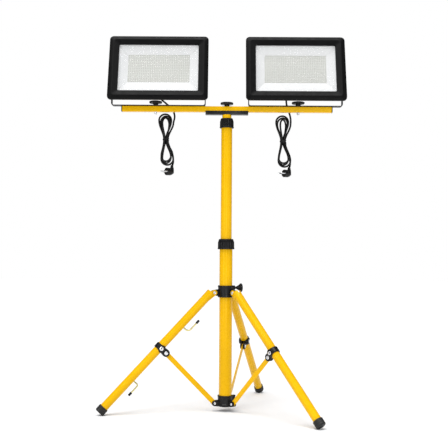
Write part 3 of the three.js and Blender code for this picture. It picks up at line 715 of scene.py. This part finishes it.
def hub_knob():
    """A fluted knob that flares out from its stem, with its axis along z."""
    profile = [
        (0, 33.3), (4, 33.3), (4, 38.6), (6.2, 39.4), (7, 43), (10.4, 48), (14.4, 51.6, 1.3),
        (15.5, 53.6, 1.3), (15.5, 56, 1.3), (14.2, 58.2, 1.0), (9.5, 59.5), (4, 59.9), (0, 60),
    ]
    return turned(profile, edge=1.0, segments=120, ribs=12)


def bottom_hub():
    """The ring at the mast's foot: three slotted ears for the braces and a lug on its rim."""
    z0, z1 = 18.6, 55
    r, rim, hole = 26, 28.5, 22.8
    ring = turned([(0, z0), (rim, z0), (rim, z0 + 6), (r, z0 + 9), (r, z1 - 5), (r + 0.9, z1 - 4),
                   (r + 0.9, z1), (0, z1)], edge=1.0, segments=96)
    ear_outline = lever((r - 8, BASE_PIVOT[1]), BASE_PIVOT, 11.5, 9.5)
    slot = block((24, 4.2, 60), (BASE_PIVOT[0] + 1.6, 0, BASE_PIVOT[1]), 0.4)
    ears = [moved(cut(plate(ear_outline, -7.5, 7.5, 1.0), slot), plane_of(leg)) for leg in LEGS]
    lug_outline = [(r - 4, z1 - 20), (r + 6, z1 - 20), (r + 10, z1 - 3), (r + 10, z1),
                   (r + 3, z1), (r - 4, z1)]
    lug = moved(plate(rounded(lug_outline, 1.5, closed=True), -5.5, 5.5, 0.8),
                Matrix.Rotation(KNOB_AZIMUTH, 4, "Z"))
    return cut(union(ring, *ears, lug), bore(hole, z0 - 10, z1 + 10, segments=96))


def ring_rivet(radius, inner, y_seat, height, x, z):
    """The head of a tubular rivet: a rolled ring with a dark well in its middle."""
    profile = [(0, 0), (radius - 0.6, 0), (radius, 0.7), (radius - 0.7, height - 0.5),
               (inner + 1.0, height), (inner, height - 0.6), (inner - 0.3, height - 2.2),
               (0, height - 2.2)]
    made = turned(profile, edge=0.8, segments=40)
    turn = Matrix.Rotation(math.radians(-90), 4, "X")
    return moved(made, shift(x, y_seat, z) @ turn)


def rivet_heads(*sizes):
    """A ring_rivet at +y and its mirror image at -y, in one mesh."""
    flipped = moved(ring_rivet(*sizes), Matrix.Scale(-1, 4, Vector((0, 1, 0))))
    bmesh.ops.reverse_faces(flipped, faces=flipped.faces)
    return joined(ring_rivet(*sizes), flipped)


def leg_tube():
    """A square-cut tube whose slotted mouth opens a little over the two cheeks of its fork."""
    r, x, wall = LEG_RADIUS, LEG_OFFSET, LEG_WALL
    end = leg_length - 6.3
    mouth = -6.2
    tube = moved(turned([
        (r - wall, -end), (r, -end), (r, -24), (r + 0.5, -15), (r + 0.7, mouth),
        (r - wall + 0.4, mouth), (r - wall, -24),
    ], edge=0.5, segments=72, ring=True), shift(x, 0, 0))
    tube = cut(tube, block((80, 2 * FORK_HALF, 34), (0, 0, 0), 0.3))
    outline = lever((x, -34), (0, 0), 12.9, 9.5)
    outside = FORK_HALF + CHEEK
    cheeks = [plate(outline, FORK_HALF, outside, 0.7), plate(outline, -outside, -FORK_HALF, 0.7)]
    return union(tube, *cheeks)


def elbow_collar():
    """A moulded clamp round the leg, with a slotted ear below it for the brace."""
    r, x = LEG_RADIUS + GAP, LEG_OFFSET
    z = -ELBOW_ALONG
    band = moved(turned([(0, z - 10), (r + 2.4, z - 10), (r + 3, z - 8.6), (r + 3, z + 8.6),
                         (r + 2.4, z + 10), (0, z + 10)], edge=1.0, segments=64),
                 shift(x, 0, 0))
    ear = plate(lever((x - 6, z), (ELBOW_X, z), 10.6, 13.2), -8.2, 8.2, 1.8)
    waist = rod_y(15.5, -14, 14, x - 3.5, z, edge=3)
    boss = rod_y(12.4, -18.6, 18.6, x - 4, z, edge=2.2)
    slot = block((40, 5.2, 60), (ELBOW_X + 9.8 - 20, 0, z), 0.5)
    return cut(union(band, ear, waist, boss), bore(r, z - 30, z + 30, x, 64), slot)


def foot_cap():
    """A moulded rubber cap with two rings, cut level with the ground."""
    r, floor, length = 17.5, 6, 24
    z = -leg_length
    inside = LEG_RADIUS + GAP
    cap = moved(turned([
        (0, z), (r - 2.4, z), (r, z + 3), (r, z + 7), (r - 0.7, z + 7.8), (r - 0.7, z + 9),
        (r, z + 9.8), (r, z + 13), (r - 0.7, z + 13.8), (r - 0.7, z + 15), (r, z + 15.8),
        (r, z + length - 1.5), (r - 1.2, z + length), (inside, z + length), (inside, z + floor),
        (0, z + floor),
    ], edge=0.6, segments=64), shift(LEG_OFFSET, 0, 0))
    swing = shift(HUB_PIVOT[0], 0, HUB_PIVOT[1]) @ Matrix.Rotation(-leg_angle, 4, "Y")
    ground = block((200, 200, 40), (SOLE[0], 0, -20), 0.01)
    return cut(moved(cap, swing), ground)


def brace_bar():
    """A flat bar with round ends, a hole at its foot and a wider one at its elbow."""
    outline = lever((0, 0), (0, brace_length), BRACE_WIDTH / 2, BRACE_WIDTH / 2, steps=14)
    bar = plate(outline, -BRACE_THICK / 2, BRACE_THICK / 2, 0.7)
    return cut(bar, rod_y(BRACE_FOOT_HOLE, -5, 5, 0, 0, edge=0.01),
               rod_y(BRACE_ELBOW_HOLE, -5, 5, 0, brace_length, edge=0.01))


HOOKS = [
    {"node": "upper_cord_hook", "along": 161, "out": 36.5, "length": 55, "bend": 14, "turn": 1},
    {"node": "lower_cord_hook", "along": 409, "out": 34.5, "length": 47, "bend": 7, "turn": -1},
]


def cord_hook(hook):
    """A bent wire hook with a short plastic sleeve pushed over its tip."""
    x, z, turn, bend = LEG_OFFSET - hook["out"], -hook["along"], hook["turn"], hook["bend"]
    tip = z + turn * hook["length"]
    centre = (x + bend, z + turn * bend)
    corner = arc(*centre, bend, -90 * turn, -180 * turn, 8)
    route = [Vector((LEG_OFFSET - LEG_RADIUS + 0.8, 0, z)), Vector((x + bend + 4, 0, z))]
    route += [Vector((px, 0, pz)) for px, pz in corner]
    route += [Vector((x, 0, z + turn * (bend + 6))), Vector((x, 0, tip - turn * 0.6))]
    wire = swept(smooth_path(route, 3), circle_section(2.6, 20))
    sleeve = turned([(0, -1), (4.2, -1), (4.2, 10.5), (3.6, 12.6), (1.8, 13.4), (0, 13.5)],
                    edge=0.8, segments=40)
    towards_tip = Matrix.Identity(4) if turn > 0 else Matrix.Rotation(math.pi, 4, "X")
    return wire, moved(sleeve, shift(x, 0, tip - turn * 13) @ towards_tip)


finished("top_hub", top_hub())
finished("hub_knob", hub_knob(), MAST @ Matrix.Rotation(KNOB_AZIMUTH, 4, "Z")
         @ shift(0, 0, KNOB_HEIGHT) @ SPIN)
finished("bottom_hub", bottom_hub())
for leg in LEGS:
    place = leg_place(leg)
    finished(f"leg_{leg}", leg_tube(), place)
    finished(f"leg_pin_{leg}", union(
        rod_y(PIN_RADIUS, -9.4, 9.4, 0, 0),
        rivet_heads(5.6, 2.0, 9.0, 2.5, 0, 0)), place)
    finished(f"elbow_collar_{leg}", elbow_collar(), place)
    extra(f"elbow_rivets_{leg}", joined(
        rivet_heads(7.4, 2.2, 18.4, 2.2, LEG_OFFSET - 4, -ELBOW_ALONG),
        rivet_heads(7.0, 2.4, 8.0, 2.4, ELBOW_X, -ELBOW_ALONG),
        rod_y(RIVET_RADIUS, -8.4, 8.4, ELBOW_X, -ELBOW_ALONG)),
        place, f"elbow_collar_{leg}", "zinc_steel")
    finished(f"foot_cap_{leg}", foot_cap(), MAST @ plane_of(leg))
    finished(f"brace_{leg}", brace_bar(),
             MAST @ plane_of(leg) @ shift(BASE_PIVOT[0], 0, BASE_PIVOT[1])
             @ Matrix.Rotation(brace_angle, 4, "Y"))
    extra(f"base_rivets_{leg}", joined(
        rivet_heads(4.5, 1.5, 7.4, 2.2, *BASE_PIVOT),
        rod_y(BASE_RIVET_RADIUS, -7.6, 7.6, *BASE_PIVOT)),
        MAST @ plane_of(leg), "bottom_hub", "zinc_steel")
for hook in HOOKS:
    wire, sleeve = cord_hook(hook)
    finished(hook["node"], wire, leg_place("left"), "hook_wire")
    extra(f"{hook['node']}_sleeve", sleeve, leg_place("left"), hook["node"], "black_plastic")


# ---------------------------------------------------------------- crossbar

BAR_SIDE, BAR_WALL, BAR_HALF, BAR_LOW = 20, 1.6, 368, 1046
BAR_TOP = BAR_LOW + BAR_SIDE
BOLT_X = 251
YOKE_W, YOKE_STRIP, YOKE_DEPTH = 332, 3, 25
bar_middle = BAR_LOW + BAR_SIDE / 2


def bolt_hole(x, z0, z1):
    return rod(BOLT_HOLE, (x, 0, z0), (x, 0, z1), edge=0.01)


def square_tube():
    """The crossbar, with a hole through it for each clamp bolt."""
    rings = []
    for x, inset in ((-BAR_HALF, 0.5), (-BAR_HALF + 0.5, 0), (BAR_HALF - 0.5, 0), (BAR_HALF, 0.5)):
        side = BAR_SIDE - 2 * inset
        rings.append([(x, y, bar_middle + z)
                      for y, z in rounded_rectangle(side, side, 2.4 - inset)])
    inner = BAR_SIDE - 2 * BAR_WALL
    for x in (BAR_HALF, -BAR_HALF):
        rings.append([(x, y, bar_middle + z) for y, z in rounded_rectangle(inner, inner, 1.2)])
    holes = [bolt_hole(x, BAR_LOW - 5, BAR_TOP + 5) for x in (-BOLT_X, 0, BOLT_X)]
    return cut(loft(rings, closed=True), *holes)


def saddle():
    """A channel under the middle of the crossbar, with a lip up each side of it."""
    half, wall = 75, 2.4
    low, lip = 1036.6, BAR_LOW + 3.6
    inside = BAR_SIDE / 2 + GAP
    outline = [(-inside - wall, lip), (-inside - wall, low), (inside + wall, low),
               (inside + wall, lip), (inside, lip), (inside, BAR_LOW - GAP),
               (-inside, BAR_LOW - GAP), (-inside, lip)]
    profile = rounded(outline, 1.3, closed=True)
    channel = bevelled(loft([[(x, y, z) for y, z in profile] for x in (-half, half)]), 0.7)
    return cut(channel, bolt_hole(0, low - 5, BAR_LOW))


def end_cap(sign):
    """A thin cap over the crossbar's end, with a spigot inside the tube."""
    spigot = BAR_SIDE - 2 * BAR_WALL - 2 * GAP
    face = block((3, BAR_SIDE, BAR_SIDE), (sign * (BAR_HALF + 1.5 + GAP), 0, bar_middle), 1.0)
    insert = block((16, spigot, spigot), (sign * (BAR_HALF - 6), 0, bar_middle), 0.8)
    return union(face, insert)


def knob_head(seat):
    """A flat clamp knob with a scalloped edge on a short hub."""
    under = seat + 6
    return turned([
        (0, seat), (8.8, seat), (8.8, under - 1.2), (12.5, under), (20.6, under + 0.2),
        (22.6, under + 1.6, 1.2), (23, under + 3.4, 1.2), (22.9, under + 5.6, 1.2),
        (21.4, under + 7.6, 0.6), (17, under + 8.5), (12, under + 8.1), (0, under + 8.1),
    ], edge=0.9, segments=144, ribs=12)


def clamp_bolt(seat, end):
    """The bolt below the knob: a thread at its end and a plain shank above."""
    pitch, threaded, crest, root = 1.2, 14, 4.9, 4.3
    profile = [(0, end), (3.6, end), (4.6, end + 1)]
    z = end + 1.4
    while z < end + threaded:
        profile += [(crest, z), (root, z + pitch / 2)]
        z += pitch
    profile += [(4.8, z + pitch / 2), (4.8, seat + 0.5), (0, seat + 0.5)]
    return revolved(profile, 32)


finished("crossbar", square_tube())
finished("saddle", saddle())
for side, sign in SIDES.items():
    finished(f"end_cap_{side}", end_cap(sign))
knobs = [("centre_knob", 0, BAR_TOP + GAP, BAR_LOW - 23.7)]
knobs += [(f"{side}_lamp_knob", sign * BOLT_X, BAR_TOP + YOKE_STRIP + 2 * GAP, BAR_LOW - 9)
          for side, sign in SIDES.items()]
for node, x, seat, end in knobs:
    there = MAST @ shift(x, 0, 0)
    finished(node, knob_head(seat), there)
    extra(f"{node}_bolt", clamp_bolt(seat, end), there, node, "zinc_steel")


# ---------------------------------------------------------------- lamps

TILT_AXIS_Z = 1192.5
TILT_BACK = math.radians(18.5)
LAMP_W, LAMP_H, LAMP_CORNER, FRONT = 350, 251, 14, -27
WINDOW_W, WINDOW_H = 280, 182
GLASS_W, GLASS_H, GLASS_THICK = 300, 202, 4
BEZEL_DEPTH, BOARD_THICK = 6, 2
GLASS_FRONT = FRONT + BEZEL_DEPTH + GAP
PANEL_W, PANEL_H, PANEL_RAISE = 218, 110, 7
FLANGE_BACK, BODY_BACK, CAVITY = -14, 6, 1
BOARD_FRONT = CAVITY - GAP - BOARD_THICK
BODY_W, BODY_H = 306, 204
FIN_COUNT, FIN_PITCH, FIN_LENGTH, FIN_DEPTH = 15, 19.6, 192, 10
DRIVER_W, DRIVER_LOW, DRIVER_HIGH, DRIVER_BACK = 124, -8, 72, 37
GLAND_X, GLAND_Y = -15, 25.5


def face_ring(width, height, corner, y, raised=0):
    return [(x, y, z + raised) for x, z in rounded_rectangle(width, height, corner)]


def hexagon(radius, z0, z1, edge):
    """A hexagonal prism with bevelled edges."""
    corners = [math.radians(60 * k) for k in range(6)]
    return bevelled(loft([[(radius * math.cos(a), radius * math.sin(a), z) for a in corners]
                          for z in (z0, z1)]), edge)


def bezel():
    """The front frame: a sloping outer face, a ridge, an inner slope and the window's lip."""
    inner_edge = (LAMP_W - WINDOW_W) / 2
    profile = [  # inset from the outer edge, depth behind the front, corner radius
        (0, 6, 14), (0, 4.7, 14), (0.5, 3.9, 13.8), (1.5, 3.2, 13.4), (12.2, 0.6, 10.5),
        (13.7, 0.1, 10), (15.2, 0, 9.5), (17, 0.3, 9), (31.8, 3.2, 5.2), (33.4, 3.5, 4.7),
        (34.6, 3.8, 4.3), (35, 4.4, 4), (35, 6, 4),
    ]
    rings = []
    for inset, depth, corner in profile:
        share = inset / inner_edge
        rings.append(face_ring(LAMP_W + (WINDOW_W - LAMP_W) * share,
                               LAMP_H + (WINDOW_H - LAMP_H) * share, corner, FRONT + depth))
    return loft(rings, closed=True)


def housing():
    """The finned casting behind the bezel, with its driver box and the bosses it pivots on."""
    rim = loft([
        face_ring(LAMP_W - 1, LAMP_H - 1, LAMP_CORNER - 0.4, GLASS_FRONT),
        face_ring(LAMP_W, LAMP_H, LAMP_CORNER, GLASS_FRONT + 0.5),
        face_ring(LAMP_W, LAMP_H, LAMP_CORNER, FLANGE_BACK - 2.2),
        face_ring(LAMP_W - 2, LAMP_H - 2, LAMP_CORNER - 0.6, FLANGE_BACK - 0.7),
        face_ring(LAMP_W - 7, LAMP_H - 7, LAMP_CORNER - 2.4, FLANGE_BACK),
    ])
    shell = loft([
        face_ring(BODY_W + 5, BODY_H + 5, 10, FLANGE_BACK - 1),
        face_ring(BODY_W + 2, BODY_H + 2, 9, FLANGE_BACK + 1.5),
        face_ring(BODY_W, BODY_H, 8, FLANGE_BACK + 5),
        face_ring(BODY_W - 1, BODY_H - 1, 8, BODY_BACK - 2),
        face_ring(BODY_W - 3, BODY_H - 3, 7.5, BODY_BACK - 0.6),
        face_ring(BODY_W - 6, BODY_H - 6, 7, BODY_BACK),
    ])
    first = -(FIN_COUNT - 1) * FIN_PITCH / 2
    half = FIN_LENGTH / 2
    fin_outline = rounded([(-half, 0), (-half + 5, FIN_DEPTH), (half - 5, FIN_DEPTH), (half, 0)],
                          4, steps=4)
    fins = []
    for i in range(FIN_COUNT):
        x = first + i * FIN_PITCH
        foot, tip = 1.6, 1.0
        rings = []
        for sign in (-1, 1):
            rings.append([(x + sign * (foot + (tip - foot) * y / FIN_DEPTH),
                           BODY_BACK - 1 + y * (FIN_DEPTH + 1) / FIN_DEPTH, z)
                          for z, y in fin_outline])
        fins.append(bevelled(loft(rings), 0.35, segments=2))
    driver = loft([
        [(x, y, (DRIVER_LOW + DRIVER_HIGH) / 2 + z) for x, z in
         rounded_rectangle(DRIVER_W - 2 * inset, DRIVER_HIGH - DRIVER_LOW - 2 * inset, 7 - inset)]
        for y, inset in ((BODY_BACK - 1, 0), (DRIVER_BACK - 3, 0), (DRIVER_BACK - 0.9, 0.8),
                         (DRIVER_BACK, 2.6))
    ])
    inner_arm = YOKE_W / 2 - YOKE_STRIP - GAP
    bosses = [rod(12.2, (sign * (inner_arm - 13), 0, 0), (sign * inner_arm, 0, 0), edge=1.0)
              for sign in (-1, 1)]
    recess_floor = GLASS_FRONT + GLASS_THICK + 2 * GAP
    recess = block((GLASS_W + 2 * GAP, 30, GLASS_H + 2 * GAP), (0, recess_floor - 15, 0), 0.5)
    cavity = block((GLASS_W - 10, 60, GLASS_H - 10), (0, CAVITY - 30, 0), 0.5)
    return cut(union(rim, shell, joined(*fins), driver, *bosses), recess, cavity)


def driver_screws():
    """The four pan-head screws of the driver box's lid."""
    profile = [(0, 0), (4.2, 0), (4.2, 1.2), (3.4, 2.2), (1.8, 2.5), (1.6, 1.3), (0, 1.3)]
    turn = Matrix.Rotation(-math.pi / 2, 4, "X")
    return joined(*[
        moved(turned(profile, 0.4, 32), shift(x, DRIVER_BACK - 0.1, z) @ turn)
        for x in (8 - DRIVER_W / 2, DRIVER_W / 2 - 8) for z in (DRIVER_LOW + 9, DRIVER_HIGH - 9)
    ])


def glass():
    return block((GLASS_W, GLASS_THICK, GLASS_H), (0, GLASS_FRONT + GLASS_THICK / 2, 0), 0.8)


def reflector():
    """A white tray: a flat border behind the glass and four mitred slopes down to the panel."""
    front = GLASS_FRONT + GLASS_THICK + GAP
    back = BOARD_FRONT - GAP
    corner = 1.2
    rings = [
        face_ring(GLASS_W - 11, GLASS_H - 11, 2, back),
        face_ring(GLASS_W - 11, GLASS_H - 11, 2, front),
        face_ring(WINDOW_W + 1, WINDOW_H + 1, corner, front),
        face_ring(WINDOW_W - 1, WINDOW_H - 1, corner, front + 0.6),
        face_ring(PANEL_W + 2, PANEL_H + 2, corner, back - 0.4, PANEL_RAISE),
        face_ring(PANEL_W, PANEL_H, corner, back, PANEL_RAISE),
    ]
    return loft(rings, closed=True)


def led_panel():
    """The board and its rows of small square LEDs."""
    margin = 18
    board = block((PANEL_W + margin, BOARD_THICK, PANEL_H + margin),
                  (0, BOARD_FRONT + BOARD_THICK / 2, PANEL_RAISE), 0.3)
    chips = bmesh.new()
    columns, rows = 34, 17
    foot, top, height = 2.5, 2.0, 0.7
    square = ((-1, -1), (1, -1), (1, 1), (-1, 1))
    for i in range(columns):
        for j in range(rows):
            x = (i - (columns - 1) / 2) * PANEL_W / columns
            z = PANEL_RAISE + (j - (rows - 1) / 2) * PANEL_H / rows
            low = [chips.verts.new((x + sx * foot, BOARD_FRONT, z + sz * foot))
                   for sx, sz in square]
            high = [chips.verts.new((x + sx * top, BOARD_FRONT - height, z + sz * top))
                    for sx, sz in square]
            chips.faces.new(high)
            chips.faces.new(low[::-1])
            for k in range(4):
                m = (k + 1) % 4
                chips.faces.new((low[k], low[m], high[m], high[k]))
    return board, chips


def cord_gland():
    """A hexagonal nut with a ribbed cone that holds the cord."""
    seat = DRIVER_LOW - GAP
    nut = hexagon(8.6, seat - 8.5, seat, 0.7)
    profile = [(0, seat + 12), (4.6, seat + 12), (4.6, seat - 8), (7.6, seat - 8), (7.6, seat - 11)]
    for i in range(4):
        z, r = seat - 11.6 - 2.9 * i, 7.1 - 0.5 * i
        profile += [(r, z), (r - 0.1, z - 1.7), (r - 1.0, z - 2.0), (r - 1.0, z - 2.6)]
    profile += [(5.0, seat - 23.2), (4.9, seat - 24), (0, seat - 24)]
    cone = turned(profile, edge=0.4, segments=40)
    return moved(union(nut, cone), shift(GLAND_X, GLAND_Y, 0))


def yoke(bolt):
    """A flat strip bent into a U, with round ends on its arms and a hole at the clamp bolt."""
    foot = BAR_TOP + GAP - TILT_AXIS_Z
    half = YOKE_W / 2

    def u_shape(reach, low, corner):
        return ([Vector((reach, 20)), Vector((-reach, 20))]
                + arc(-reach + corner, low + corner, corner, 180, 270, 10)
                + arc(reach - corner, low + corner, corner, 270, 360, 10))
    band = cut(
        plate(u_shape(half, foot, 9), -YOKE_DEPTH / 2, YOKE_DEPTH / 2),
        plate(u_shape(half - YOKE_STRIP, foot + YOKE_STRIP, 6), -YOKE_DEPTH, YOKE_DEPTH),
    )
    ends = [Vector((-YOKE_DEPTH / 2, foot - 5)), Vector((YOKE_DEPTH / 2, foot - 5))]
    ends += arc(0, 0, YOKE_DEPTH / 2, 0, 180, 24)
    arms = loft([[(x, y, z) for y, z in ends] for x in (-half - 10, half + 10)])
    strip = bevelled(combined("INTERSECT", band, arms), 0.6, angle=50)
    return cut(strip, bolt_hole(bolt, foot - 5, foot + 10))


def pivot_bolt(sign):
    """A flanged hexagonal bolt through the yoke's arm."""
    inside, seat = YOKE_W / 2 - YOKE_STRIP, YOKE_W / 2 + GAP
    shank = turned([(0, inside - 10), (4, inside - 10), (4, seat), (8.5, seat),
                    (8.5, seat + 0.9), (7.4, seat + 1.5), (0, seat + 1.5)], 0.4, 48)
    head = hexagon(6.9, seat + 1, seat + 4.6, 0.5)
    return moved(union(shank, head), Matrix.Rotation(sign * math.pi / 2, 4, "Y"))


for side, sign in SIDES.items():
    bolt_x = sign * (BOLT_X - LAMP_X)
    on_yoke = MAST @ shift(sign * LAMP_X, 0, TILT_AXIS_Z)
    in_lamp = on_yoke @ Matrix.Rotation(-TILT_BACK, 4, "X")
    finished(f"{side}_lamp_housing", housing(), in_lamp)
    extra(f"{side}_housing_screws", driver_screws(), in_lamp, f"{side}_lamp_housing",
          "zinc_steel")
    finished(f"{side}_lamp_bezel", bezel(), in_lamp)
    finished(f"{side}_lamp_glass", glass(), in_lamp)
    finished(f"{side}_reflector", reflector(), in_lamp)
    board, chips = led_panel()
    finished(f"{side}_led_board", board, in_lamp, "led_board")
    extra(f"{side}_led_chips", chips, in_lamp, f"{side}_led_board", "led_phosphor")
    finished(f"{side}_cord_gland", cord_gland(), in_lamp)
    finished(f"{side}_yoke", yoke(bolt_x), on_yoke)
    finished(f"{side}_pivot_bolt_a", pivot_bolt(-1), on_yoke)
    finished(f"{side}_pivot_bolt_b", pivot_bolt(1), on_yoke)


# ---------------------------------------------------------------- floor, light and background

def floor_and_light():
    scene = bpy.context.scene
    mesh = bpy.data.meshes.new("floor")
    bm = bmesh.new()
    bmesh.ops.create_circle(bm, cap_ends=True, segments=96, radius=14)
    bm.to_mesh(mesh)
    bm.free()
    floor = bpy.data.objects.new("floor", mesh)
    pale = bpy.data.materials.new("floor")
    pale.use_nodes = True
    surface = pale.node_tree.nodes["Principled BSDF"]
    surface.inputs["Base Color"].default_value = (0.83, 0.83, 0.83, 1)
    surface.inputs["Roughness"].default_value = 0.8
    mesh.materials.append(pale)
    scene.collection.objects.link(floor)

    def softbox(name, place, target, size, power):
        light = bpy.data.lights.new(name, "AREA")
        light.shape = "RECTANGLE"
        light.size, light.size_y = size
        light.energy = power
        made = bpy.data.objects.new(name, light)
        made.location = place
        made.rotation_euler = (Vector(target) - Vector(place)).to_track_quat("-Z", "Y").to_euler()
        scene.collection.objects.link(made)

    softbox("left_strip", (-2.3, -2.7, 1.4), (0, 0, 0.7), (0.3, 2.6), 22)
    softbox("near_strip", (0.62, -3.6, 1.3), (0, 0, 0.7), (0.28, 2.4), 13)
    softbox("right_strip", (2.7, -2.0, 1.4), (0, 0, 0.7), (0.35, 2.6), 11)
    softbox("low_front", (0.0, -4.4, 0.5), (0, 0, 1.05), (2.6, 0.9), 13)

    overhead = bpy.data.lights.new("overhead", "SUN")
    overhead.energy = 2.8
    overhead.angle = math.radians(50)
    lamp = bpy.data.objects.new("overhead", overhead)
    lamp.rotation_euler = Vector((0.12, 0.27, -0.96)).to_track_quat("-Z", "Y").to_euler()
    scene.collection.objects.link(lamp)

    world = bpy.data.worlds.new("studio")
    scene.world = world
    world.use_nodes = True
    tree = world.node_tree
    for node in list(tree.nodes):
        tree.nodes.remove(node)
    path = shader_node(tree, "LightPath")
    seen = mixed(tree, path.outputs["Is Camera Ray"], (0.52, 0.53, 0.55, 1), (1, 1, 1, 1))
    tone = mixed(tree, path.outputs["Is Glossy Ray"], seen, (0.10, 0.10, 0.10, 1))
    backdrop = shader_node(tree, "Background", {"Color": tone})
    shader_node(tree, "OutputWorld", {"Surface": backdrop.outputs[0]})
    scene.view_settings.view_transform = "Standard"


floor_and_light()
